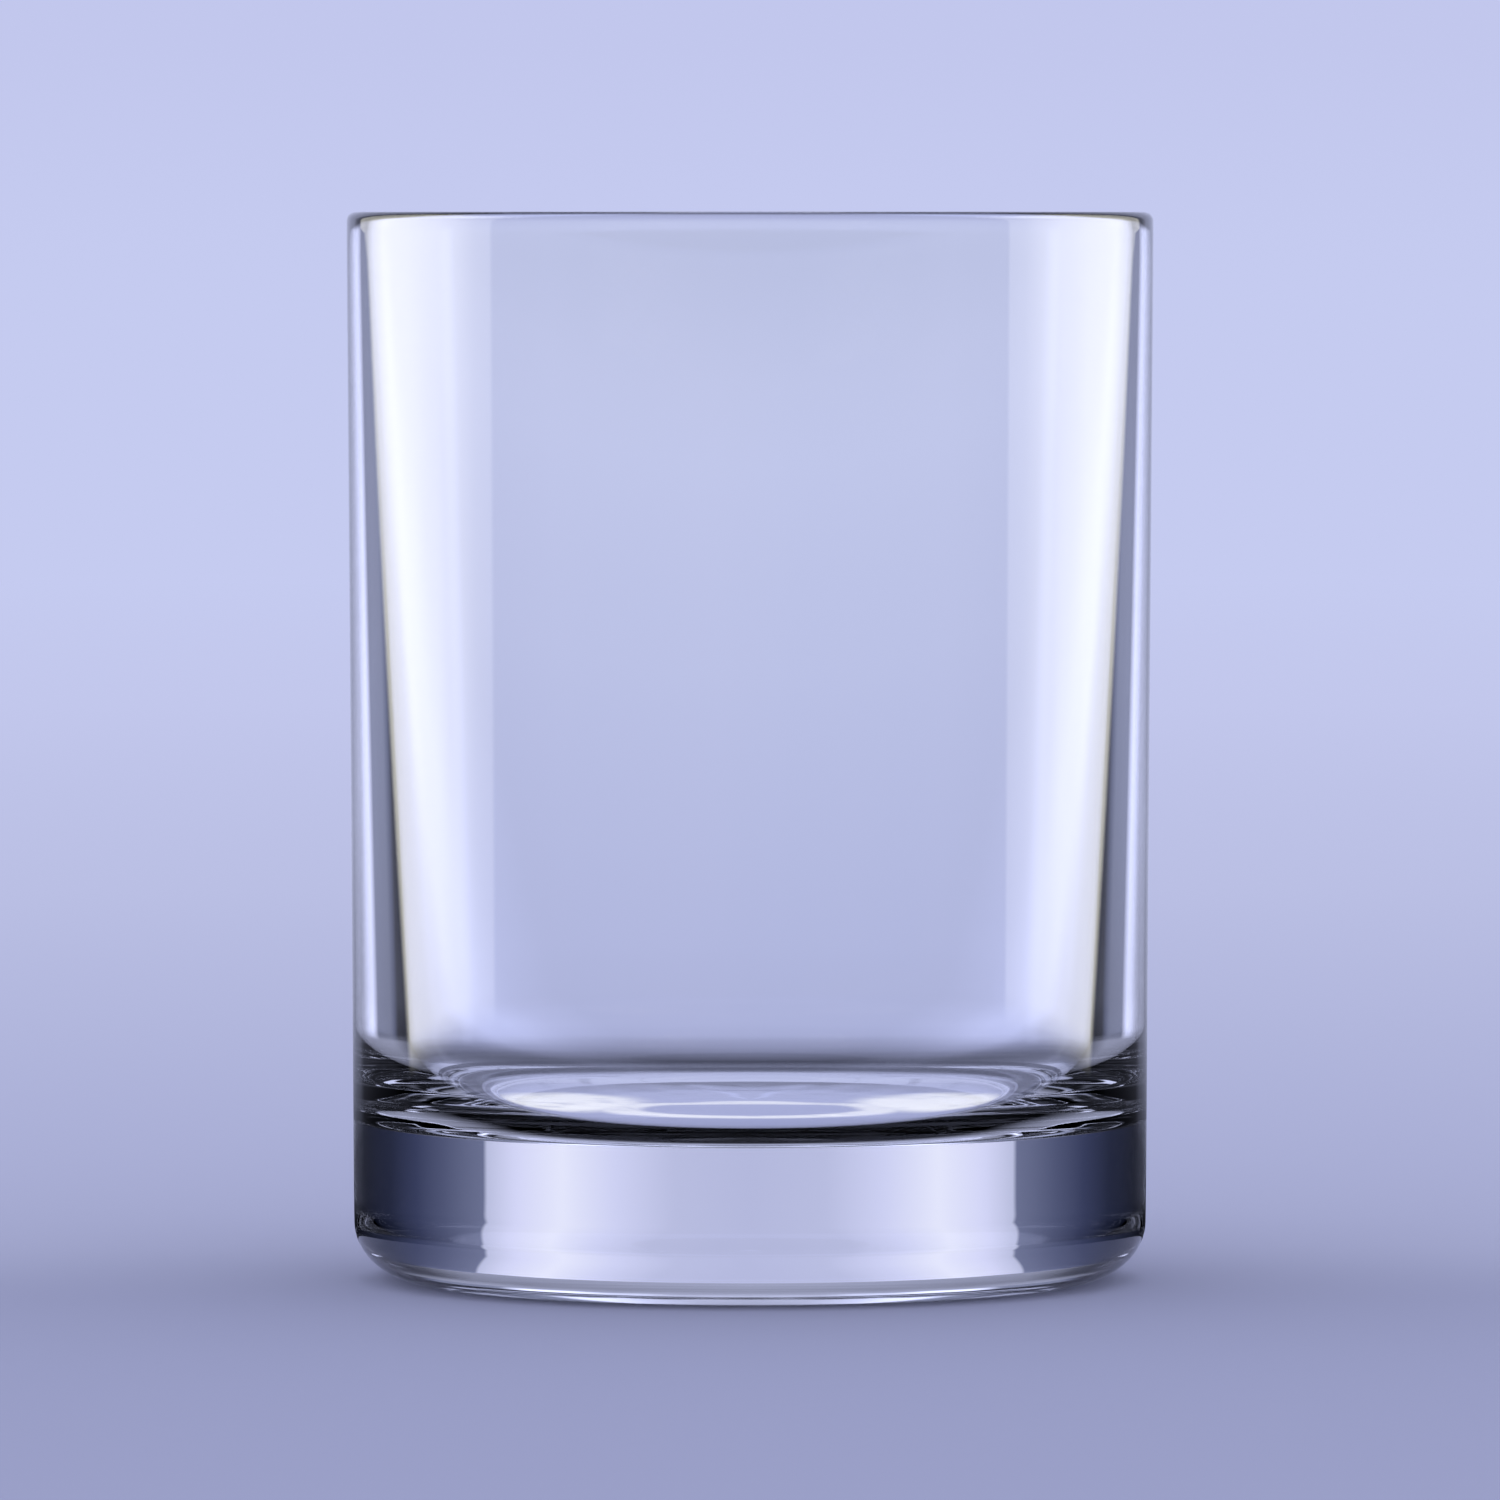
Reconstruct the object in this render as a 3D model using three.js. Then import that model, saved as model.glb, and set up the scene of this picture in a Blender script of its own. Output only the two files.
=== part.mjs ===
// Whiskey tumbler: one piece of pressed clear glass with a heavy solid base.
// Millimetres, +Z up. The origin is the centre of the foot, on the surface that the glass stands on.
import * as THREE from "three";

// Driving dimensions, in millimetres.
const HEIGHT = 106;
const RIM_RADIUS = 40; // outside, where the bead meets the wall
const BEAD_RADIUS = 0.95; // half the wall's thickness at the rounded drinking edge
const HEEL_WALL_RADIUS = 39.35; // outside, just above the rounded heel
const HEEL_REACH = 6.8; // how far the rounded heel runs in from the wall
const HEEL_HEIGHT = 5.9;
const FOOT_WIDTH = 3.2; // flat ring that carries the glass
const RECESS_EDGE_WIDTH = 1.6; // curved edge between the foot ring and the recess
const RECESS_EDGE_HEIGHT = 0.5;
const RECESS_DEPTH = 1.1; // at the centre of the underside
const BASE_THICKNESS = 15.2; // solid glass from the table to the bottom of the cup
const CUP_FLOOR_RADIUS = 27.5; // flat part of the cup's floor
const CUP_FILLET_REACH = 6.5; // rounded corner between the floor and the cup's wall
const CUP_FILLET_HEIGHT = 10.5;

// Fineness of the faceted surface.
const SEGMENTS_ROUND = 72;
const WALL_STEPS = 4;
const BEAD_STEPS = 8;
const HEEL_STEPS = 8;
const FILLET_STEPS = 10;
const FLOOR_STEPS = 3;
const RECESS_STEPS = 3;

const GLASS = new THREE.MeshStandardMaterial({
  name: "clear_glass",
  color: 0xe9edf4,
  roughness: 0.02,
  metalness: 0,
  transparent: true,
  opacity: 0.35,
});

// Points of a quarter ellipse about (centreR, centreZ), from one angle to another, ends included.
function ellipseArc(centreR, centreZ, reach, rise, fromAngle, toAngle, steps) {
  const points = [];
  for (let i = 0; i <= steps; i += 1) {
    const angle = fromAngle + ((toAngle - fromAngle) * i) / steps;
    points.push(new THREE.Vector2(centreR + reach * Math.cos(angle), centreZ + rise * Math.sin(angle)));
  }
  return points;
}

// Points strictly between two ends of a straight stretch.
function straight(from, to, steps) {
  const points = [];
  for (let i = 1; i < steps; i += 1) {
    points.push(new THREE.Vector2().lerpVectors(from, to, i / steps));
  }
  return points;
}

// Underside, from the axis out: a shallow dome, a curved step, then the flat foot ring.
function undersideProfile() {
  const footOuter = HEEL_WALL_RADIUS - HEEL_REACH;
  const footInner = footOuter - FOOT_WIDTH;
  const domeRadius = footInner - RECESS_EDGE_WIDTH;
  const dome = [];
  for (let i = 0; i < RECESS_STEPS; i += 1) {
    const share = i / RECESS_STEPS;
    const z = RECESS_DEPTH - (RECESS_DEPTH - RECESS_EDGE_HEIGHT) * share * share;
    dome.push(new THREE.Vector2(domeRadius * share, z));
  }
  const step = ellipseArc(footInner, RECESS_EDGE_HEIGHT, RECESS_EDGE_WIDTH, RECESS_EDGE_HEIGHT,
    Math.PI, 1.5 * Math.PI, RECESS_STEPS);
  return [...dome, ...step];
}

// Rounded heel, from the foot ring up to the outer wall.
function heelProfile() {
  return ellipseArc(HEEL_WALL_RADIUS - HEEL_REACH, HEEL_HEIGHT, HEEL_REACH, HEEL_HEIGHT,
    -0.5 * Math.PI, 0, HEEL_STEPS);
}

// Fire-polished drinking edge, over the top from outside to inside.
function beadProfile() {
  return ellipseArc(RIM_RADIUS - BEAD_RADIUS, HEIGHT - BEAD_RADIUS, BEAD_RADIUS, BEAD_RADIUS,
    0, Math.PI, BEAD_STEPS);
}

// Rounded corner at the bottom of the cup, from its wall down to its floor.
function cupFilletProfile() {
  return ellipseArc(CUP_FLOOR_RADIUS, BASE_THICKNESS + CUP_FILLET_HEIGHT, CUP_FILLET_REACH, CUP_FILLET_HEIGHT,
    0, -0.5 * Math.PI, FILLET_STEPS);
}

// Whole outline, from the axis under the glass round to the axis on the cup's floor.
function glassProfile() {
  const heel = heelProfile();
  const bead = beadProfile();
  const fillet = cupFilletProfile();
  const floorCentre = new THREE.Vector2(0, BASE_THICKNESS);
  return [
    ...undersideProfile(),
    ...heel,
    ...straight(heel.at(-1), bead[0], WALL_STEPS),
    ...bead,
    ...straight(bead.at(-1), fillet[0], WALL_STEPS),
    ...fillet,
    ...straight(fillet.at(-1), floorCentre, FLOOR_STEPS),
    floorCentre,
  ];
}

// The lathe turns about Y, so the body is stood up to turn about Z.
function glassBody() {
  const geometry = new THREE.LatheGeometry(glassProfile(), SEGMENTS_ROUND);
  geometry.rotateX(0.5 * Math.PI);
  const mesh = new THREE.Mesh(geometry, GLASS);
  mesh.name = "glass_body";
  return mesh;
}

const tumbler = new THREE.Group();
tumbler.name = "whiskey_tumbler";
tumbler.add(glassBody());

export default tumbler;
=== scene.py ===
"""Whiskey tumbler in clear pressed glass, finished and lit for a studio picture.

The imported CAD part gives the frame: where the glass stands, how tall it is and how wide its rim is.
This script turns one fine glass body ring by ring inside that frame, gives it its finish, and stands
it on a round studio sweep. Lengths are in metres, with +Z up and the foot's centre at the origin.
"""

import logging
import math
from dataclasses import dataclass, field
from enum import Enum
from typing import Protocol

import bpy
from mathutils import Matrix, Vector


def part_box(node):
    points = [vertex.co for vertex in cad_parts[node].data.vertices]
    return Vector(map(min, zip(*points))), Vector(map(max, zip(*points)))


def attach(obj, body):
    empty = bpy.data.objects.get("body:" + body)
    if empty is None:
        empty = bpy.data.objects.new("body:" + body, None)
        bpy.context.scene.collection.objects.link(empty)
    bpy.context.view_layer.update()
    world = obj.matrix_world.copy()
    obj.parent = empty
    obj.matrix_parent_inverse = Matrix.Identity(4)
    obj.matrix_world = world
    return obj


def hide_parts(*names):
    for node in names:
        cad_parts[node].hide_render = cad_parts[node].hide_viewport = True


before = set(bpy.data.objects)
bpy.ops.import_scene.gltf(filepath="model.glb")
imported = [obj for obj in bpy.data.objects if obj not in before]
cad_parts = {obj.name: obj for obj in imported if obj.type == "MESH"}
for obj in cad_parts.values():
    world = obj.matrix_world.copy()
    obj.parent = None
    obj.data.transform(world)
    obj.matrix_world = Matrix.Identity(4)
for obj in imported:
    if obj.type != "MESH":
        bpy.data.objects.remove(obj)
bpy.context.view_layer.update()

MM = 0.001

RING_TOLERANCE = 0.01 * MM
WELD_DISTANCE = 0.001 * MM
HALF_TURN = 180.0
CUP_CROSSED = 3.5  # a ray that has crossed the cup has passed four skins of glass
GLASS_BOUNCES = 24
MIRROR_BOUNCES = 12

log = logging.getLogger("tumbler")

Tone = tuple[float, float, float]
Ring = tuple[float, float]
Stops = tuple[tuple[float, float], ...]


def linear(value: int) -> float:
    """Undo the display curve of one channel.

    Args:
        value: Display value, 0 to 255.

    Returns:
        Linear light, 0 to 1.
    """
    share = value / 255
    return share / 12.92 if share <= 0.04045 else ((share + 0.055) / 1.055) ** 2.4


def light(red: int, green: int, blue: int, gain: float = 1.0) -> Tone:
    """Turn a display tone into linear light.

    Args:
        red: Red, 0 to 255.
        green: Green, 0 to 255.
        blue: Blue, 0 to 255.
        gain: How much brighter than the tone the light is.

    Returns:
        Linear red, green and blue.
    """
    return (linear(red) * gain, linear(green) * gain, linear(blue) * gain)


def cool(value: float) -> Tone:
    """Light reflected from lavender paper."""
    return (value * 0.86, value * 0.91, value * 1.3)


def warm(value: float) -> Tone:
    """Light of the side lamps, a little warmer than the paper's."""
    return (value, value * 0.98, value * 0.86)


def even(value: float) -> Tone:
    """The same share of red, green and blue."""
    return (value, value, value)


BLACK = even(0.0)
FAR_PAPER = light(197, 203, 240)


def arc(centre: Ring, reach: float, rise: float, start: float, end: float, steps: int) -> list[Ring]:
    """Walk a stretch of an ellipse in the glass's half section.

    Args:
        centre: Radius and height of the ellipse's centre.
        reach: Half width of the ellipse, along the radius.
        rise: Half height of the ellipse.
        start: First angle, in degrees from straight outward.
        end: Last angle, in degrees.
        steps: Number of rings after the first point, which is left out.

    Returns:
        Rings as (radius, height) pairs, ending at the last angle.
    """
    rings = []
    for step in range(1, steps + 1):
        angle = math.radians(start + (end - start) * step / steps)
        rings.append((centre[0] + reach * math.cos(angle), centre[1] + rise * math.sin(angle)))
    return rings


def straight(start: Ring, end: Ring, steps: int) -> list[Ring]:
    """Walk a straight stretch of the half section, without its first point.

    Args:
        start: Ring that the stretch leaves.
        end: Ring that it reaches.
        steps: Number of rings.

    Returns:
        Rings as (radius, height) pairs, ending at end.
    """
    return [
        (start[0] + (end[0] - start[0]) * step / steps, start[1] + (end[1] - start[1]) * step / steps)
        for step in range(1, steps + 1)
    ]


class RingTurner:
    """Draws a skin of revolution by extruding one circle of edges ring after ring."""

    def __init__(self, name: str, start: Ring, segments: int) -> None:
        """Add the first circle and stay in edit mode.

        Args:
            name: Name of the new piece.
            start: Radius and height of the first ring.
            segments: Number of sides of each ring.
        """
        bpy.ops.object.select_all(action="DESELECT")
        bpy.ops.mesh.primitive_circle_add(
            vertices=segments, radius=start[0], fill_type="NOTHING", location=(0, 0, start[1])
        )
        self.piece = bpy.context.object
        self.piece.name = name
        self.piece.data.name = name
        bpy.ops.object.transform_apply(location=True, rotation=True, scale=True)
        self.start = start
        self.last = start
        bpy.ops.object.mode_set(mode="EDIT")
        bpy.ops.mesh.select_mode(type="VERT")
        bpy.ops.mesh.select_all(action="SELECT")

    def extend(self, rings: list[Ring]) -> None:
        """Extrude the live ring through each of these in turn.

        Args:
            rings: Rings as (radius, height) pairs.
        """
        for radius, height in rings:
            rise = height - self.last[1]
            bpy.ops.mesh.extrude_region_move(TRANSFORM_OT_translate={"value": (0, 0, rise)})
            grow = radius / self.last[0]
            bpy.ops.transform.resize(value=(grow, grow, 1), center_override=(0, 0, height))
            self.last = (radius, height)

    def close(self) -> None:
        """Draw the live ring together into one point on the axis."""
        bpy.ops.mesh.merge(type="CENTER")

    def restart(self) -> None:
        """Make the first ring the live one again."""
        bpy.ops.mesh.select_all(action="DESELECT")
        bpy.ops.object.mode_set(mode="OBJECT")
        for vertex in self.piece.data.vertices:
            off_radius = abs(math.hypot(vertex.co.x, vertex.co.y) - self.start[0])
            off_height = abs(vertex.co.z - self.start[1])
            vertex.select = max(off_radius, off_height) < RING_TOLERANCE
        bpy.ops.object.mode_set(mode="EDIT")
        self.last = self.start

    def finish(self) -> bpy.types.Object:
        """Weld the skin, turn its faces outward and leave edit mode.

        Returns:
            The finished object, smooth shaded.
        """
        bpy.ops.mesh.select_all(action="SELECT")
        bpy.ops.mesh.remove_doubles(threshold=WELD_DISTANCE)
        bpy.ops.mesh.normals_make_consistent(inside=False)
        bpy.ops.object.mode_set(mode="OBJECT")
        bpy.ops.object.shade_smooth()
        return self.piece


class NodeBench:
    """Lays out shader nodes with as few words as they need."""

    def __init__(self, tree: bpy.types.NodeTree) -> None:
        """Clear a node tree to build in.

        Args:
            tree: Tree of a material or a world.
        """
        self.tree = tree
        tree.nodes.clear()

    def node(self, kind: str, **settings: object) -> bpy.types.Node:
        """Add one node.

        Args:
            kind: Blender's name for the node type.
            **settings: Properties to set on it.

        Returns:
            The new node.
        """
        made = self.tree.nodes.new(kind)
        for name, value in settings.items():
            setattr(made, name, value)
        return made

    def feed(self, socket: bpy.types.NodeSocket, value: object) -> None:
        """Set a socket to a number or colour, or link an output to it.

        Args:
            socket: Input to fill.
            value: A number, a linear colour, or another node's output.
        """
        if isinstance(value, bpy.types.NodeSocket):
            self.tree.links.new(value, socket)
        elif isinstance(value, tuple) and len(value) == 3 and socket.type == "RGBA":
            socket.default_value = (*value, 1.0)
        else:
            socket.default_value = value

    def math(self, operation: str, *values: object) -> bpy.types.NodeSocket:
        """Add a Math node.

        Args:
            operation: Its operation.
            *values: Its inputs, as numbers or outputs.

        Returns:
            The result's socket.
        """
        made = self.node("ShaderNodeMath", operation=operation)
        for socket, value in zip(made.inputs, values):
            self.feed(socket, value)
        return made.outputs[0]

    def some(self, count: bpy.types.NodeSocket) -> bpy.types.NodeSocket:
        """1 where a ray's count is at least one, otherwise 0."""
        return self.math("GREATER_THAN", count, 0.5)

    def none(self, count: bpy.types.NodeSocket) -> bpy.types.NodeSocket:
        """1 where a ray's count is zero, otherwise 0."""
        return self.math("LESS_THAN", count, 0.5)

    def axes(self, vector: bpy.types.NodeSocket) -> tuple[bpy.types.NodeSocket, ...]:
        """Split a vector.

        Args:
            vector: The vector's socket.

        Returns:
            The sockets of its X, Y and Z.
        """
        split = self.node("ShaderNodeSeparateXYZ")
        self.feed(split.inputs[0], vector)
        return tuple(split.outputs)

    def turn_from_behind(
        self, across: bpy.types.NodeSocket, along: bpy.types.NodeSocket
    ) -> bpy.types.NodeSocket:
        """Angle round the glass from straight behind it, alike on both sides.

        Args:
            across: How far to the side.
            along: How far behind.

        Returns:
            The angle's socket, in degrees from 0 to 180.
        """
        turn = self.math("ARCTAN2", self.math("ABSOLUTE", across), along)
        return self.math("DEGREES", turn)

    def noise(
        self,
        place: bpy.types.NodeSocket,
        scale: float,
        detail: float,
        stretch: Tone = (1.0, 1.0, 1.0),
        distortion: float = 0.0,
    ) -> bpy.types.NodeSocket:
        """Add an uneven pattern.

        Args:
            place: Object coordinates.
            scale: How fine it is, per metre.
            detail: How many finer layers it has.
            stretch: Factor on each coordinate; under 1 draws the pattern out along that axis.
            distortion: How much it swirls.

        Returns:
            The pattern's socket, about 0 to 1.
        """
        drawn = self.node("ShaderNodeMapping")
        drawn.inputs["Scale"].default_value = stretch
        self.feed(drawn.inputs["Vector"], place)
        pattern = self.node("ShaderNodeTexNoise")
        pattern.inputs["Scale"].default_value = scale
        pattern.inputs["Detail"].default_value = detail
        pattern.inputs["Distortion"].default_value = distortion
        self.feed(pattern.inputs["Vector"], drawn.outputs[0])
        return pattern.outputs[0]

    def between(self, value: object, start: float, end: float) -> bpy.types.NodeSocket:
        """Rise smoothly from 0 to 1 as a value goes from start to end.

        Args:
            value: The value's socket.
            start: Where the rise begins.
            end: Where it is complete; below start for a rise that runs downward.

        Returns:
            The share's socket.
        """
        made = self.node("ShaderNodeMapRange", interpolation_type="SMOOTHSTEP")
        made.inputs["From Min"].default_value = start
        made.inputs["From Max"].default_value = end
        self.feed(made.inputs["Value"], value)
        return made.outputs[0]

    def mix(self, share: object, first: object, second: object, blend: str = "MIX") -> bpy.types.NodeSocket:
        """Mix two colours.

        Args:
            share: Share of the second colour.
            first: Colour at 0.
            second: Colour at 1.
            blend: How they mix.

        Returns:
            The mixed colour's socket.
        """
        made = self.node("ShaderNodeMix", data_type="RGBA", blend_type=blend)
        for index, value in ((0, share), (6, first), (7, second)):
            self.feed(made.inputs[index], value)
        return made.outputs[2]

    def blend_shaders(self, share: object, first: bpy.types.Node, second: bpy.types.Node) -> bpy.types.Node:
        """Mix two shaders.

        Args:
            share: Share of the second shader.
            first: Shader at 0.
            second: Shader at 1.

        Returns:
            The node that mixes them.
        """
        made = self.node("ShaderNodeMixShader")
        for socket, value in zip(made.inputs, (share, first.outputs[0], second.outputs[0])):
            self.feed(socket, value)
        return made

    def ramp(
        self, place: object, stops: tuple[tuple[float, Tone], ...], whole: float = 1.0
    ) -> bpy.types.NodeSocket:
        """Read a colour off a ramp.

        Args:
            place: Where to read, 0 to whole.
            stops: Places and linear colours, in order.
            whole: The place at the ramp's end.

        Returns:
            The colour's socket.
        """
        made = self.node("ShaderNodeValToRGB")
        elements = made.color_ramp.elements
        elements.remove(elements[-1])
        elements[0].position = stops[0][0] / whole
        for position, _ in stops[1:]:
            elements.new(position / whole)
        for element, (_, colour) in zip(elements, stops):
            element.color = (*colour, 1.0)
        self.feed(made.inputs[0], place if whole == 1.0 else self.math("DIVIDE", place, whole))
        return made.outputs[0]

    def level_ramp(self, place: object, stops: Stops, whole: float = 1.0) -> bpy.types.NodeSocket:
        """Read an even level off a ramp.

        Args:
            place: Where to read, 0 to whole.
            stops: Places and levels, in order.
            whole: The place at the ramp's end.

        Returns:
            The level's socket, alike in red, green and blue.
        """
        return self.ramp(place, tuple((position, even(level)) for position, level in stops), whole)


@dataclass(frozen=True)
class ClearGlass:
    """Fire polished soda-lime glass: clear, faintly cool, with hardly visible wipe marks and draw lines."""

    index: float = 1.5
    clean_tint: Tone = (0.985, 0.990, 1.0)
    cord_tint: Tone = (0.965, 0.978, 0.995)
    cord_scale: float = 38.0
    cord_detail: float = 3.0
    cord_stretch: Tone = (1.0, 1.0, 0.12)
    cord_start: float = 0.35
    cord_end: float = 0.75
    wipe_scale: float = 120.0
    wipe_detail: float = 4.0
    wipe_swirl: float = 0.6
    wipe_start: float = 0.52
    wipe_end: float = 0.8
    clean_roughness: float = 0.0
    wiped_roughness: float = 0.012
    draw_scale: float = 260.0
    draw_detail: float = 1.0
    draw_stretch: Tone = (1.0, 1.0, 0.04)
    draw_depth: float = 0.02 * MM
    draw_strength: float = 0.06

    def make(self) -> bpy.types.Material:
        """Build the material.

        Returns:
            The finished material.
        """
        material = bpy.data.materials.new("fire_polished_glass")
        material.use_nodes = True
        bench = NodeBench(material.node_tree)
        place = bench.node("ShaderNodeTexCoord").outputs["Object"]
        glass = bench.node("ShaderNodeBsdfPrincipled")
        glass.inputs["IOR"].default_value = self.index
        glass.inputs["Transmission Weight"].default_value = 1.0
        bench.feed(glass.inputs["Base Color"], self.tint(bench, place))
        bench.feed(glass.inputs["Roughness"], self.wipe_marks(bench, place))
        bench.feed(glass.inputs["Normal"], self.draw_lines(bench, place))
        output = bench.node("ShaderNodeOutputMaterial")
        bench.feed(output.inputs["Surface"], glass.outputs[0])
        return material

    def tint(self, bench: NodeBench, place: bpy.types.NodeSocket) -> bpy.types.NodeSocket:
        """Cords of slightly denser glass, drawn out upward.

        Args:
            bench: Where the nodes go.
            place: Object coordinates.

        Returns:
            The tint's socket.
        """
        cords = bench.noise(place, self.cord_scale, self.cord_detail, self.cord_stretch)
        return bench.ramp(cords, ((self.cord_start, self.clean_tint), (self.cord_end, self.cord_tint)))

    def wipe_marks(self, bench: NodeBench, place: bpy.types.NodeSocket) -> bpy.types.NodeSocket:
        """Where a cloth has left the surface a touch less clean.

        Args:
            bench: Where the nodes go.
            place: Object coordinates.

        Returns:
            The roughness socket.
        """
        marks = bench.noise(place, self.wipe_scale, self.wipe_detail, distortion=self.wipe_swirl)
        spread = bench.node("ShaderNodeMapRange")
        spread.inputs["From Min"].default_value = self.wipe_start
        spread.inputs["From Max"].default_value = self.wipe_end
        spread.inputs["To Min"].default_value = self.clean_roughness
        spread.inputs["To Max"].default_value = self.wiped_roughness
        bench.feed(spread.inputs["Value"], marks)
        return spread.outputs[0]

    def draw_lines(self, bench: NodeBench, place: bpy.types.NodeSocket) -> bpy.types.NodeSocket:
        """The shallow upright lines that a press mould leaves under the fire polish.

        Args:
            bench: Where the nodes go.
            place: Object coordinates.

        Returns:
            The normal's socket.
        """
        bump = bench.node("ShaderNodeBump")
        bump.inputs["Strength"].default_value = self.draw_strength
        bump.inputs["Distance"].default_value = self.draw_depth
        lines = bench.noise(place, self.draw_scale, self.draw_detail, self.draw_stretch)
        bench.feed(bump.inputs["Height"], lines)
        return bump.outputs[0]


@dataclass
class Tumbler:
    """The glass, one body of revolution with a heavy solid base."""

    height: float
    rim_radius: float
    bead_radius: float = 0.95 * MM
    heel_wall_radius: float = 39.35 * MM
    heel_reach: float = 6.8 * MM
    heel_height: float = 5.9 * MM
    foot_width: float = 3.2 * MM
    recess_edge_width: float = 1.6 * MM
    recess_edge_height: float = 0.5 * MM
    recess_depth: float = 1.1 * MM
    base_thickness: float = 15.2 * MM
    cup_floor_radius: float = 27.5 * MM
    fillet_reach: float = 6.5 * MM
    fillet_height: float = 10.5 * MM
    floor_ripple_depth: float = 0.010 * MM
    floor_ripple_pitch: float = 5.2 * MM
    floor_ripple_onset: float = 2.5
    floor_ripple_ending: float = 4.0
    pole_radius: float = 0.4 * MM
    segments: int = 160
    wall_steps: int = 14
    heel_steps: int = 14
    bead_steps: int = 12
    fillet_steps: int = 18
    floor_steps: int = 40
    foot_steps: int = 3
    recess_edge_steps: int = 8
    dome_steps: int = 14
    smoothing: int = 1
    finish: ClearGlass = field(default_factory=ClearGlass)

    def foot_outer(self) -> float:
        """Outside radius of the flat ring that carries the glass."""
        return self.heel_wall_radius - self.heel_reach

    def foot_inner(self) -> float:
        """Inside radius of that ring."""
        return self.foot_outer() - self.foot_width

    def outside(self) -> list[Ring]:
        """Outer skin, from the foot ring up over the heel and the wall to the drinking edge.

        Returns:
            Rings in order, ending inside the rounded edge.
        """
        heel_centre = (self.foot_outer(), self.heel_height)
        heel = arc(heel_centre, self.heel_reach, self.heel_height, -90, 0, self.heel_steps)
        bead_centre = (self.rim_radius - self.bead_radius, self.height - self.bead_radius)
        wall = straight(heel[-1], (self.rim_radius, bead_centre[1]), self.wall_steps)
        bead = arc(bead_centre, self.bead_radius, self.bead_radius, 0, 180, self.bead_steps)
        return heel + wall + bead

    def cup(self, edge: Ring) -> list[Ring]:
        """Inner skin, from the drinking edge down the wall and round to the middle of the floor.

        Args:
            edge: Last ring of the rounded edge.

        Returns:
            Rings in order, ending near the axis.
        """
        top = (self.cup_floor_radius + self.fillet_reach, self.base_thickness + self.fillet_height)
        wall = straight(edge, top, self.wall_steps)
        fillet_centre = (self.cup_floor_radius, top[1])
        fillet = arc(fillet_centre, self.fillet_reach, self.fillet_height, 0, -90, self.fillet_steps)
        return wall + fillet + self.cup_floor()

    def cup_floor(self) -> list[Ring]:
        """Floor of the cup, with the faint rings that the plunger leaves.

        Returns:
            Rings in order, ending near the axis.
        """
        rings = []
        for step in range(1, self.floor_steps + 1):
            share = step / self.floor_steps
            radius = self.cup_floor_radius + (self.pole_radius - self.cup_floor_radius) * share
            turn = 2 * math.pi * radius / self.floor_ripple_pitch
            onset = math.sin(math.pi * min(1.0, self.floor_ripple_onset * share) / 2)
            fade = onset * min(1.0, self.floor_ripple_ending * (1 - share))
            rings.append((radius, self.base_thickness + self.floor_ripple_depth * fade * math.sin(turn)))
        return rings

    def underside(self) -> list[Ring]:
        """Flat foot ring, the curved step inside it and the shallow dome of the recess.

        Returns:
            Rings in order, ending near the axis.
        """
        start = (self.foot_outer(), 0.0)
        flat = straight(start, (self.foot_inner(), 0.0), self.foot_steps)
        step_centre = (self.foot_inner(), self.recess_edge_height)
        step = arc(
            step_centre, self.recess_edge_width, self.recess_edge_height, 270, 180, self.recess_edge_steps
        )
        dome_radius = step[-1][0]
        rise = self.recess_depth - self.recess_edge_height
        dome = []
        for radius, _ in straight(step[-1], (self.pole_radius, 0.0), self.dome_steps):
            share = radius / dome_radius
            dome.append((radius, self.recess_depth - rise * share * share))
        return flat + step + dome

    def build(self) -> bpy.types.Object:
        """Turn the whole skin and smooth it.

        Returns:
            The glass as one closed mesh.
        """
        turner = RingTurner("tumbler_glass", (self.foot_outer(), 0.0), self.segments)
        outside = self.outside()
        turner.extend(outside)
        turner.extend(self.cup(outside[-1]))
        turner.close()
        turner.restart()
        turner.extend(self.underside())
        turner.close()
        glass = turner.finish()
        smooth = glass.modifiers.new("fire_polish", "SUBSURF")
        smooth.levels = self.smoothing
        smooth.render_levels = self.smoothing
        bpy.ops.object.modifier_apply(modifier=smooth.name)
        return glass

    def dress(self, glass: bpy.types.Object) -> None:
        """Give the glass its finish and its place in the frame.

        Args:
            glass: The finished mesh.
        """
        glass.data.materials.clear()
        glass.data.materials.append(self.finish.make())
        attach(glass, "root")
        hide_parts("glass_body")


class Pattern(Enum):
    """Which set of lights a ray sees, by what it has met in the glass."""

    THROUGH = "rays that have only passed through solid glass"
    INSIDE = "rays that have also been turned back inside the glass"
    MIRROR = "rays that come straight off the polished surface"


class Lamp(Protocol):
    """Anything that can be hung round the glass."""

    def wire(self, bench: NodeBench, azimuth: object, elevation: object) -> bpy.types.NodeSocket:
        """Build the lamp's nodes.

        Args:
            bench: Where the nodes go.
            azimuth: Socket with the degrees from straight behind the glass, 0 to 180.
            elevation: Socket with the degrees above the horizon.

        Returns:
            The light's socket.
        """


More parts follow.
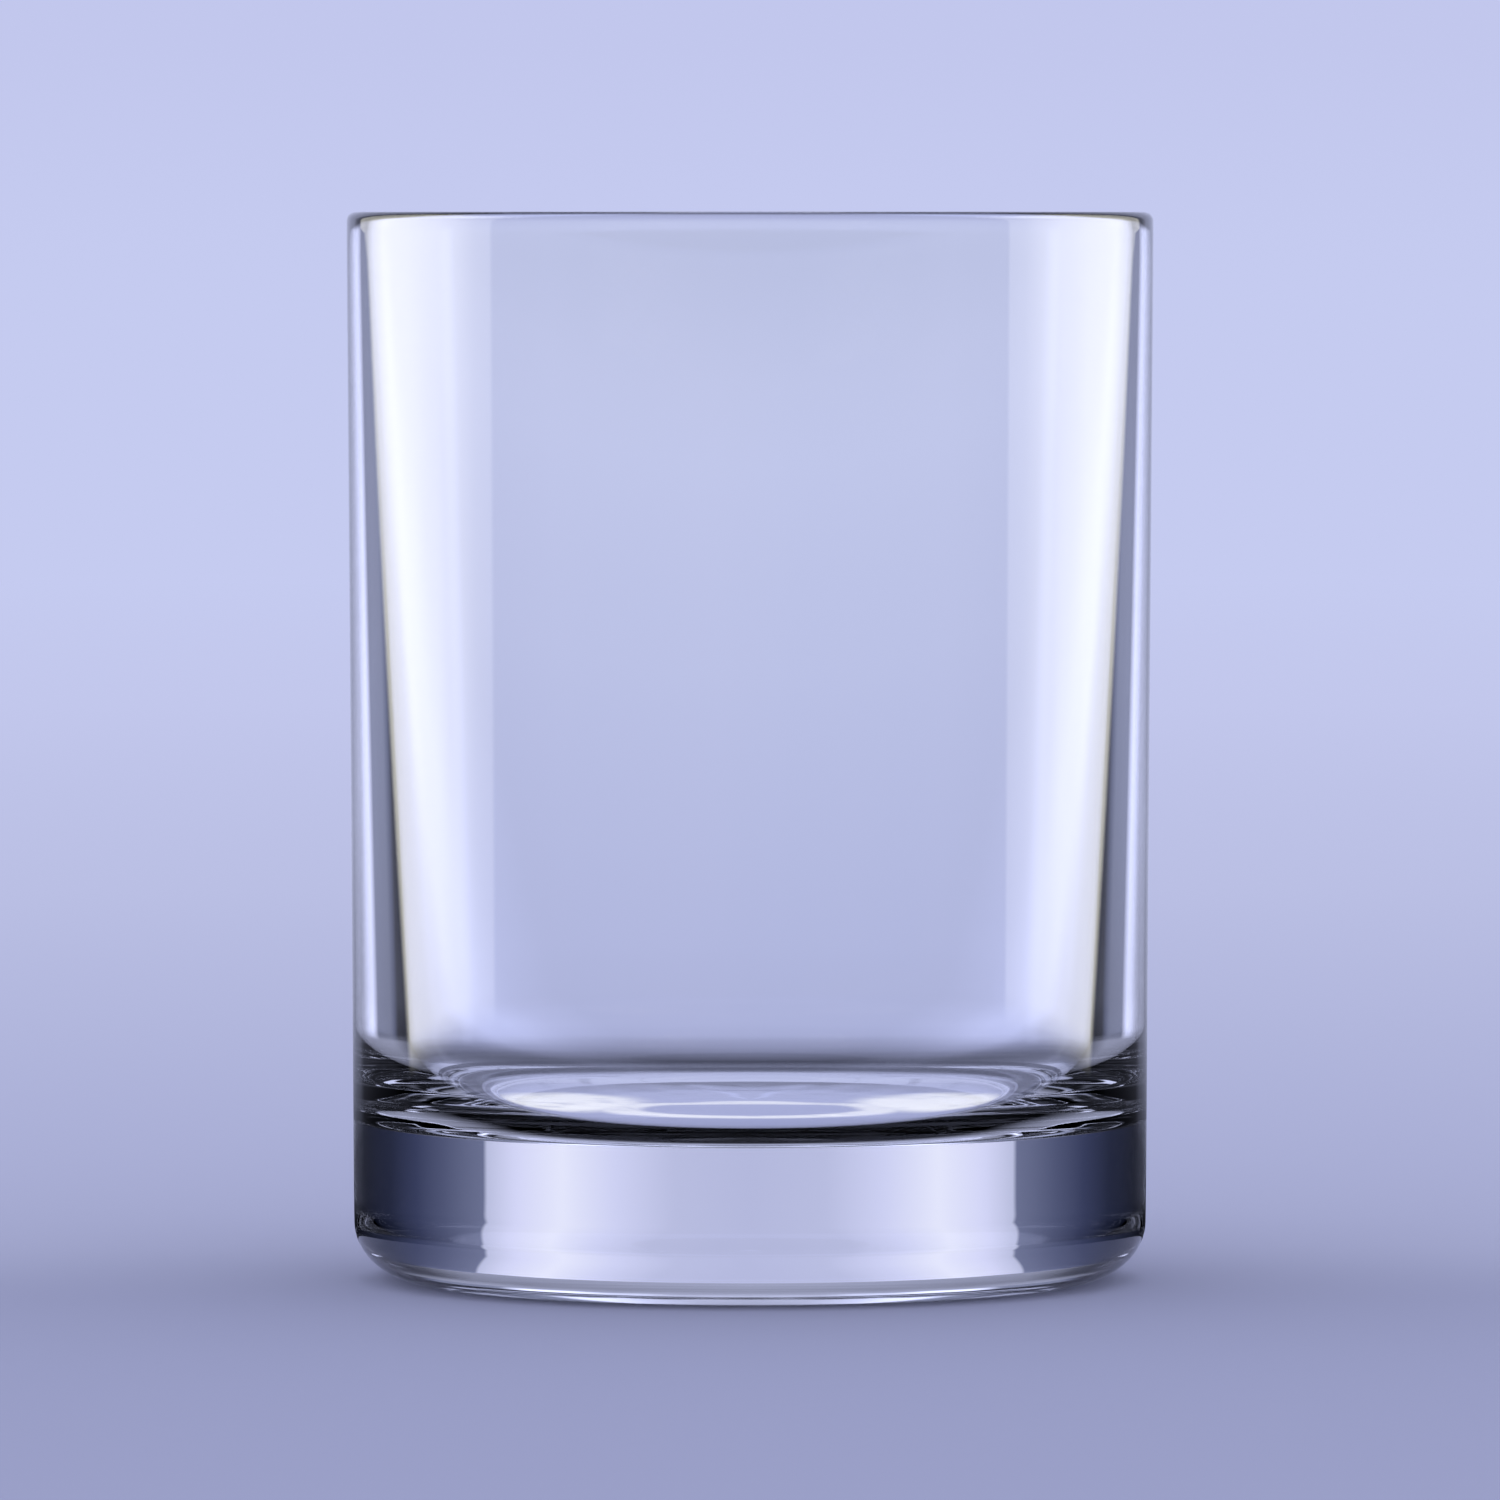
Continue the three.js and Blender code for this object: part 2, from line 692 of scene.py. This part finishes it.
@dataclass(frozen=True)
class LightRing:
    """Light all round the glass: tones by azimuth from straight behind it, times a share by elevation.

    A ring may lean, so that its tones stand further round the higher they reach.
    """

    tones: tuple[tuple[float, Tone], ...]
    elevations: Stops
    lean: float = 0.0
    lean_start: float = 5.0

    def wire(self, bench: NodeBench, azimuth: object, elevation: object) -> bpy.types.NodeSocket:
        """Build the nodes of this ring of lights.

        Args:
            bench: Where the nodes go.
            azimuth: Socket with the degrees from straight behind the glass, 0 to 180.
            elevation: Socket with the degrees above the horizon.

        Returns:
            The light's socket.
        """
        above = bench.math("MAXIMUM", bench.math("SUBTRACT", elevation, self.lean_start), 0.0)
        upright = bench.math("SUBTRACT", azimuth, bench.math("MULTIPLY", above, self.lean))
        around = bench.ramp(upright, self.tones, whole=HALF_TURN)
        upward = bench.level_ramp(
            bench.math("MULTIPLY_ADD", elevation, 1 / HALF_TURN, 0.5),
            tuple((0.5 + degrees / HALF_TURN, share) for degrees, share in self.elevations),
        )
        return bench.mix(1.0, around, upward, blend="MULTIPLY")


@dataclass(frozen=True)
class SideLamp:
    """A tall soft lamp on either side, whose rear edge slants and whose lower edge is crisp."""

    tones: tuple[tuple[float, Tone], ...]
    rear_edge: float = 49.5
    rear_softness: float = 3.0
    slant: float = 6.8
    slant_level: float = -2.05
    slant_range: tuple[float, float] = (-4.2, 0.5)
    lower_edge: tuple[float, float] = (-4.2, -3.98)
    upper_edge: tuple[float, float] = (50.0, 35.0)

    def wire(self, bench: NodeBench, azimuth: object, elevation: object) -> bpy.types.NodeSocket:
        """Build the nodes of the pair of lamps.

        Args:
            bench: Where the nodes go.
            azimuth: Socket with the degrees from straight behind the glass, 0 to 180.
            elevation: Socket with the degrees above the horizon.

        Returns:
            The light's socket.
        """
        face = bench.ramp(azimuth, self.tones, whole=HALF_TURN)
        low, high = self.slant_range
        level = bench.math("MINIMUM", bench.math("MAXIMUM", elevation, low), high)
        above = bench.math("SUBTRACT", level, self.slant_level)
        past = bench.math("MULTIPLY_ADD", above, self.slant, azimuth)
        half = self.rear_softness / 2
        rear = bench.between(past, self.rear_edge - half, self.rear_edge + half)
        share = bench.math("MULTIPLY", rear, bench.between(elevation, *self.lower_edge))
        share = bench.math("MULTIPLY", share, bench.between(elevation, *self.upper_edge))
        return bench.mix(share, BLACK, face)


@dataclass(frozen=True)
class FloorEllipse:
    """An oval place on the floor, repeated on both sides, by its middle and how far it reaches."""

    centre: tuple[float, float]
    reach: tuple[float, float]

    def distance(
        self, bench: NodeBench, side: bpy.types.NodeSocket, along: bpy.types.NodeSocket
    ) -> bpy.types.NodeSocket:
        """Measure how far a place is from the middle.

        Args:
            bench: Where the nodes go.
            side: Distance of the place to either side.
            along: Distance of the place behind the glass's axis.

        Returns:
            The distance's socket, 1 on the oval itself.
        """
        first = bench.math("DIVIDE", bench.math("SUBTRACT", side, self.centre[0]), self.reach[0])
        second = bench.math("DIVIDE", bench.math("SUBTRACT", along, self.centre[1]), self.reach[1])
        square = bench.math("MULTIPLY_ADD", first, first, bench.math("MULTIPLY", second, second))
        return bench.math("SQRT", square)


def solid_share(bench: NodeBench, rays: bpy.types.Node) -> bpy.types.NodeSocket:
    """Pick out the rays that have been in solid glass but haven't crossed the cup.

    Args:
        bench: Where the nodes go.
        rays: A Light Path node.

    Returns:
        A socket that is 1 for those rays and 0 for the rest.
    """
    passed = rays.outputs["Transmission Depth"]
    return bench.math("MULTIPLY", bench.some(passed), bench.math("LESS_THAN", passed, CUP_CROSSED))


@dataclass
class Studio:
    """Soft daylight studio: a lavender round sweep, tall side lights and dark flags beside them."""

    middle_radius: float = 0.02
    floor_rings: tuple[float, ...] = (0.05, 0.12, 0.3, 0.8, 1.6)
    floor_radius: float = 2.4
    curve_radius: float = 0.8
    curve_steps: int = 12
    wall_height: float = 5.0
    segments: int = 96
    under_glass_light: float = 0.6
    foot_clearance: float = 55 * MM
    wall_start: float = 0.5 * MM
    front_fade: tuple[float, float] = (0.045, -0.03)
    front_reach: tuple[float, float] = (0.9, 0.25)
    # Painted light on the floor seen across the cup, by degrees from straight behind.
    panel_gains: Stops = ((0, 1.0), (9, 1.0), (13, 1.12), (17, 1.35), (21, 1.4), (25, 1.1), (30, 1.0))
    # Painted shade on the floor seen across the cup, by distance from the axis over shade_reach.
    shade_reach: float = 0.2
    shade: Stops = ((0.0, 1.15), (0.13, 1.15), (0.16, 0.25), (0.3, 0.2), (0.42, 0.5), (0.6, 1.0))
    # Painted glints on the floor under the cup: a patch on either side and a loop in front, broken into
    # streaks.
    glint_patch: FloorEllipse = FloorEllipse((19.5 * MM, -2.0 * MM), (8.5 * MM, 7.0 * MM))
    patch_edge: tuple[float, float] = (1.25, 0.7)
    glint_loop: FloorEllipse = FloorEllipse((0.0, -7.0 * MM), (13.5 * MM, 5.0 * MM))
    loop_inner: tuple[float, float] = (0.76, 0.92)
    loop_outer: tuple[float, float] = (1.28, 1.08)
    loop_level: float = 0.8
    streak_scale: float = 130.0
    streak_detail: float = 3.0
    streak_stretch: Tone = (1.0, 2.6, 1.0)
    streak_swirl: float = 1.2
    streak_edge: tuple[float, float] = (0.3, 0.52)
    streak_depth: float = 0.5

    def lamps_behind(self) -> tuple[Lamp, Lamp]:
        """Set out the lights that show straight through solid glass.

        Returns:
            The tones behind the glass, and the floor far beyond it.
        """
        behind = LightRing(
            tones=(
                (0, light(180, 184, 219, 1.1)), (7, light(184, 188, 222, 1.1)),
                (13, light(205, 208, 241, 1.1)), (19, light(228, 230, 251, 1.1)),
                (25, light(212, 214, 246, 1.1)), (29.7, light(186, 190, 221, 1.1)),
                (30.2, light(106, 112, 144, 1.1)), (38, light(80, 86, 118, 1.1)),
                (45, light(55, 61, 92, 1.15)), (54, light(34, 39, 62, 1.2)),
                (70, light(20, 24, 42)), (92, light(12, 14, 26)),
                (104, light(120, 125, 160)), (130, light(184, 188, 222)), (180, light(190, 194, 228)),
            ),
            elevations=((-9, 0.0), (-6, 1.0), (60, 1.0), (85, 1.2)),
            lean=0.28,
        )
        floor_beyond = LightRing(tones=((0, light(168, 173, 212)),), elevations=((-9, 1.0), (-6, 0.0)))
        return (behind, floor_beyond)

    def lamps_inside(self) -> tuple[Lamp, Lamp]:
        """Set out the lights that reach the eye by being turned back inside the glass.

        Returns:
            The lights round the glass, and the light that comes up from the floor.
        """
        around = LightRing(
            tones=(
                (0, cool(0.60)), (6, cool(0.66)), (12, cool(0.95)), (17, cool(1.4)), (21, cool(1.5)),
                (24, cool(0.85)), (26, light(140, 146, 178)), (36, light(132, 138, 168)),
                (39, light(96, 102, 132)), (41.5, cool(0.02)), (60, cool(0.004)), (76, cool(0.006)),
                (78, cool(0.9)), (81, cool(0.9)), (83, cool(0.006)), (112, cool(0.01)), (118, cool(0.12)),
                (130, cool(0.03)), (180, cool(0.03)),
            ),
            elevations=((-12, 0.0), (-8, 1.0), (60, 1.0), (85, 1.2)),
        )
        below = LightRing(
            tones=((0, cool(0.50)), (36, cool(0.42)), (50, cool(0.10)), (60, cool(0.02)), (180, cool(0.02))),
            elevations=((-40, 0.0), (-28, 0.6), (-12, 1.0), (-9, 0.0)),
        )
        return (around, below)

    def lamps_mirrored(self) -> tuple[Lamp, Lamp]:
        """Set out the lights that the polished surface mirrors.

        Returns:
            The backdrop and the pair of side lamps.
        """
        backdrop = LightRing(
            tones=(
                (0, light(199, 205, 241)), (24, light(199, 205, 241)), (29, cool(0.3)), (44, cool(0.25)),
                (54, cool(0.25)), (60, BLACK), (180, BLACK),
            ),
            elevations=((-4.3, 0.0), (-3.3, 1.0), (35, 1.0), (50, 0.5), (90, 0.5)),
        )
        softboxes = SideLamp(
            tones=(
                (38, warm(1.2)), (44, warm(2.3)), (50, warm(3.3)), (56, warm(4.0)), (62, warm(4.6)),
                (68, warm(5.0)), (80, warm(4.9)), (88, warm(3.9)), (95, warm(2.3)), (101, warm(1.8)),
                (101.4, warm(0.0)),
            ),
        )
        return (backdrop, softboxes)

    def light_seen(self, bench: NodeBench) -> dict[Pattern, bpy.types.NodeSocket]:
        """Wire every lamp to the direction that a ray leaves in.

        Args:
            bench: Where the nodes go.

        Returns:
            The light of each pattern.
        """
        across, along, up = bench.axes(bench.node("ShaderNodeTexCoord").outputs["Generated"])
        azimuth = bench.turn_from_behind(across, along)
        elevation = bench.math("DEGREES", bench.math("ARCSINE", up))
        lamps = {
            Pattern.THROUGH: self.lamps_behind(),
            Pattern.INSIDE: self.lamps_inside(),
            Pattern.MIRROR: self.lamps_mirrored(),
        }
        seen = {}
        for pattern, (first, second) in lamps.items():
            lit = first.wire(bench, azimuth, elevation)
            seen[pattern] = bench.mix(1.0, lit, second.wire(bench, azimuth, elevation), blend="ADD")
        return seen

    def hang_lights(self) -> None:
        """Build the world: the lights that the glass shows, and even light for the floor."""
        world = bpy.data.worlds.new("studio")
        world.use_nodes = True
        world.cycles.sampling_method = "NONE"
        bpy.context.scene.world = world
        bench = NodeBench(world.node_tree)
        seen = self.light_seen(bench)
        rays = bench.node("ShaderNodeLightPath")
        turned_back = bench.some(rays.outputs["Glossy Depth"])
        solid = bench.mix(turned_back, seen[Pattern.THROUGH], seen[Pattern.INSIDE])
        colour = bench.mix(solid_share(bench, rays), FAR_PAPER, solid)
        colour = bench.mix(rays.outputs["Is Reflection Ray"], colour, seen[Pattern.MIRROR])
        under_glass = bench.some(rays.outputs["Transmission Depth"])
        on_floor = bench.mix(under_glass, even(1.0), even(self.under_glass_light))
        colour = bench.mix(bench.some(rays.outputs["Diffuse Depth"]), colour, on_floor)
        background = bench.node("ShaderNodeBackground")
        bench.feed(background.inputs["Color"], colour)
        output = bench.node("ShaderNodeOutputWorld")
        bench.feed(output.inputs["Surface"], background.outputs[0])

    def build_sweep(self) -> bpy.types.Object:
        """Turn the round floor and the wall that rises from it.

        Returns:
            The sweep as one mesh, open at the top.
        """
        turner = RingTurner("studio_sweep", (self.middle_radius, 0.0), self.segments)
        turner.extend([(radius, 0.0) for radius in (*self.floor_rings, self.floor_radius)])
        curve_centre = (self.floor_radius, self.curve_radius)
        turner.extend(arc(curve_centre, self.curve_radius, self.curve_radius, -90, 0, self.curve_steps))
        turner.extend([(self.floor_radius + self.curve_radius, self.wall_height)])
        turner.restart()
        turner.close()
        return turner.finish()

    def floor_tone_with_painted_shade(
        self, bench: NodeBench, along: bpy.types.NodeSocket, radius: bpy.types.NodeSocket
    ) -> bpy.types.NodeSocket:
        """Lavender paper with painted shade: lighter with distance behind the glass, and in front a little
        darker.

        Args:
            bench: Where the nodes go.
            along: Distance behind the glass's axis.
            radius: Distance from that axis.

        Returns:
            The paper's colour.
        """
        # Painted shade: the paper is darker near the glass and lighter far off.
        behind = bench.ramp(
            radius,
            (
                (0.0, light(160, 165, 205)), (0.10, light(168, 173, 212)), (0.26, light(173, 178, 217)),
                (0.46, light(179, 184, 222)), (0.75, light(186, 191, 228)), (1.5, light(194, 199, 236)),
                (self.floor_radius, FAR_PAPER),
            ),
            whole=self.floor_radius,
        )
        # Painted shade: the paper in front of the glass is darker, fading out far off.
        front = bench.between(along, *self.front_fade)
        near = bench.between(radius, *self.front_reach)
        return bench.mix(bench.math("MULTIPLY", front, near), behind, light(155, 160, 200))

    def wall_tone(self, bench: NodeBench, height: bpy.types.NodeSocket) -> bpy.types.NodeSocket:
        """Paper of the curve and the wall, a touch deeper in tone higher up.

        Args:
            bench: Where the nodes go.
            height: Height above the floor.

        Returns:
            The paper's colour.
        """
        stops = (
            (0.0, FAR_PAPER), (0.09, FAR_PAPER), (0.16, light(194, 199, 237)), (1.0, light(193, 198, 236)),
        )
        return bench.ramp(height, stops, whole=self.wall_height)

    def painted_floor_under_cup(
        self,
        bench: NodeBench,
        place: bpy.types.NodeSocket,
        tone: bpy.types.NodeSocket,
        radius: bpy.types.NodeSocket,
    ) -> bpy.types.NodeSocket:
        """Floor as it shows across the cup: painted shade near the foot, painted paler light far off, and
        painted glints.

        Args:
            bench: Where the nodes go.
            place: Object coordinates.
            tone: The paper's colour, with its painted shade.
            radius: Distance from the glass's axis.

        Returns:
            The floor's colour.
        """
        # Painted shade and light: a touch brighter right under the cup, then a dark ring round the foot.
        shade = bench.level_ramp(bench.math("DIVIDE", radius, self.shade_reach), self.shade)
        # Painted light: the floor further off is made paler.
        far_painted_light = bench.ramp(
            bench.math("DIVIDE", radius, self.floor_radius),
            (
                (0.0, even(1.0)), (0.04, even(1.0)), (0.06, (1.17, 1.17, 1.14)), (0.52, (1.16, 1.16, 1.10)),
                (0.64, (1.11, 1.11, 1.05)), (0.82, (1.03, 1.03, 0.98)), (1.0, (1.0, 1.0, 0.96)),
            ),
        )
        shaded = bench.mix(1.0, tone, shade, blend="MULTIPLY")
        shaded = bench.mix(1.0, shaded, far_painted_light, blend="MULTIPLY")
        # Painted glints, near white, over the shaded floor.
        return bench.mix(self.painted_floor_glints(bench, place), shaded, light(250, 250, 255, 1.15))

    def painted_floor_glints(self, bench: NodeBench, place: bpy.types.NodeSocket) -> bpy.types.NodeSocket:
        """Painted glints where the side lamps' light comes together on the floor under the cup.

        Args:
            bench: Where the nodes go.
            place: Object coordinates.

        Returns:
            A socket that is 1 in the bright patches and 0 elsewhere.
        """
        across, along, _ = bench.axes(place)
        side = bench.math("ABSOLUTE", across)
        patch = bench.between(self.glint_patch.distance(bench, side, along), *self.patch_edge)
        loop = self.glint_loop.distance(bench, side, along)
        inner = bench.between(loop, *self.loop_inner)
        line = bench.math("MULTIPLY", inner, bench.between(loop, *self.loop_outer))
        lit = bench.math("MAXIMUM", patch, bench.math("MULTIPLY", line, self.loop_level))
        streaks = bench.noise(
            place, self.streak_scale, self.streak_detail, self.streak_stretch, self.streak_swirl
        )
        broken = bench.between(streaks, *self.streak_edge)
        level = bench.math("MULTIPLY_ADD", broken, self.streak_depth, 1 - self.streak_depth)
        return bench.math("MULTIPLY", lit, level)

    def panels(
        self, bench: NodeBench, place: bpy.types.NodeSocket, tone: bpy.types.NodeSocket
    ) -> bpy.types.NodeSocket:
        """Brighten the sweep with painted light either side of straight behind, where the light panels
        stand.

        Args:
            bench: Where the nodes go.
            place: Object coordinates.
            tone: The sweep's tone there.

        Returns:
            The tone with the panels' light on it.
        """
        across, along, _ = bench.axes(place)
        gain = bench.level_ramp(bench.turn_from_behind(across, along), self.panel_gains, whole=HALF_TURN)
        return bench.mix(1.0, tone, gain, blend="MULTIPLY")

    def paint_sweep(self, sweep: bpy.types.Object) -> None:
        """Give the sweep its paper with its painted shade and glints, and let the glass's own rays look past
        it to the lights.

        Args:
            sweep: The sweep's mesh.
        """
        material = bpy.data.materials.new("sweep_paper")
        material.use_nodes = True
        material.cycles.emission_sampling = "NONE"
        bench = NodeBench(material.node_tree)
        place = bench.node("ShaderNodeTexCoord").outputs["Object"]
        across, along, height = bench.axes(place)
        square = bench.math("MULTIPLY_ADD", along, along, bench.math("MULTIPLY", across, across))
        radius = bench.math("SQRT", square)
        tone = self.floor_tone_with_painted_shade(bench, along, radius)
        on_wall = bench.math("GREATER_THAN", height, self.wall_start)
        rays = bench.node("ShaderNodeLightPath")
        direct = bench.none(rays.outputs["Diffuse Depth"])
        past_cup = bench.math("GREATER_THAN", rays.outputs["Transmission Depth"], CUP_CROSSED)

        # The paper takes the tone with its painted shade.
        paper = bench.node("ShaderNodeBsdfDiffuse")
        bench.feed(paper.inputs["Color"], tone)
        under_cup = self.painted_floor_under_cup(bench, place, tone, radius)
        lit = bench.mix(on_wall, under_cup, self.wall_tone(bench, height))
        # The wall glows with its paper tone; the floor as seen across the cup glows with its painted shade,
        # painted light and painted glints instead of being lit.
        glow = bench.node("ShaderNodeEmission")
        bench.feed(glow.inputs["Color"], bench.mix(past_cup, lit, self.panels(bench, place, lit)))
        glowing = bench.math("MAXIMUM", on_wall, bench.math("MULTIPLY", past_cup, direct))
        surface = bench.blend_shaders(glowing, paper, glow)

        solid = bench.math("MULTIPLY", solid_share(bench, rays), direct)
        gathered = bench.math("MULTIPLY", on_wall, bench.math("SUBTRACT", 1.0, direct))
        away = bench.math("GREATER_THAN", radius, self.foot_clearance)
        mirrored = bench.math("MULTIPLY", rays.outputs["Is Reflection Ray"], away)
        mirrored = bench.math("MULTIPLY", mirrored, direct)
        passing = bench.math("MAXIMUM", bench.math("MAXIMUM", solid, gathered), mirrored)
        finished = bench.blend_shaders(passing, surface, bench.node("ShaderNodeBsdfTransparent"))
        output = bench.node("ShaderNodeOutputMaterial")
        bench.feed(output.inputs["Surface"], finished.outputs[0])
        sweep.data.materials.append(material)

    def set_up(self) -> bpy.types.Object:
        """Hang the lights and stand the sweep.

        Returns:
            The sweep.
        """
        self.hang_lights()
        sweep = self.build_sweep()
        self.paint_sweep(sweep)
        return sweep


@dataclass
class StudioCamera:
    """Long lens at rim height, tipped down to the middle of the glass."""

    distance: float = 1.3
    eye_height: float = 106.4 * MM
    tip_down: float = 2.37
    focal_length: float = 314.5
    sensor: float = 36.0
    nearest: float = 0.05
    farthest: float = 50.0

    def set_up(self) -> bpy.types.Object:
        """Place the camera and make it the scene's.

        Returns:
            The camera.
        """
        lens = bpy.data.cameras.new("studio_camera")
        lens.lens = self.focal_length
        lens.sensor_width = self.sensor
        lens.clip_start = self.nearest
        lens.clip_end = self.farthest
        camera = bpy.data.objects.new("studio_camera", lens)
        camera.location = (0.0, -self.distance, self.eye_height)
        camera.rotation_euler = (math.radians(90 - self.tip_down), 0.0, 0.0)
        bpy.context.scene.collection.objects.link(camera)
        bpy.context.scene.camera = camera
        return camera


def set_ray_depths() -> None:
    """Let light cross every wall of the glass, and show tones as they are."""
    scene = bpy.context.scene
    scene.view_settings.view_transform = "Standard"
    scene.cycles.max_bounces = GLASS_BOUNCES
    scene.cycles.transmission_bounces = GLASS_BOUNCES
    scene.cycles.glossy_bounces = MIRROR_BOUNCES
    scene.cycles.transparent_max_bounces = GLASS_BOUNCES
    scene.cycles.diffuse_bounces = 1


def main() -> None:
    """Build the camera, the glass and the studio round it."""
    logging.basicConfig(level=logging.INFO, format="%(name)s: %(message)s")
    StudioCamera().set_up()
    low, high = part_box("glass_body")
    tumbler = Tumbler(height=high.z, rim_radius=high.x)
    glass = tumbler.build()
    tumbler.dress(glass)
    log.info("%s: %d faces, %.1f mm tall", glass.name, len(glass.data.polygons), glass.dimensions.z / MM)
    sweep = Studio().set_up()
    log.info("%s: %d faces", sweep.name, len(sweep.data.polygons))
    set_ray_depths()


if __name__ == "__main__":
    main()
